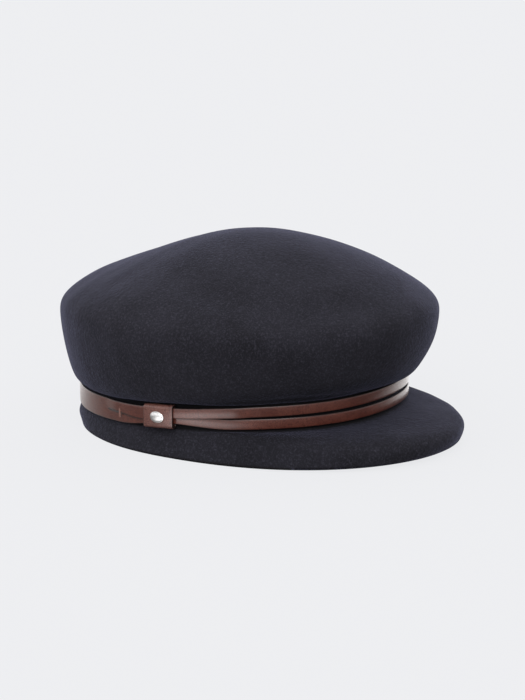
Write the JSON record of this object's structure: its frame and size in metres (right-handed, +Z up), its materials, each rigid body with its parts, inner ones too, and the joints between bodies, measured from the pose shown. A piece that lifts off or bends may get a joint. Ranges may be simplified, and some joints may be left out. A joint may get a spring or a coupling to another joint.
{
  "type": "sailor cap",
  "caption": "Moulded felt sailor cap with a full soft crown, a short curved peak, a slit leather band, a leather keeper and a plain oval stud.",
  "frame": {"origin": "on the surface that the cap rests on, in the middle of the cap's bounding box", "axes": "+Z up through the crown, -Y towards the peak (the wearer's front), -X towards the side with the keeper"},
  "size_m": [0.2031, 0.2534, 0.1175],
  "materials": {
    "felt": "moulded wool felt, matt, dark navy",
    "leather": "smooth reddish brown leather, semi-gloss",
    "stud_metal": "polished pale metal"
  },
  "bodies": {
    "root": {"felt_body": "felt", "leather_band": "leather", "keeper": "leather", "oval_stud": "stud_metal"}
  },
  "joints": []
}
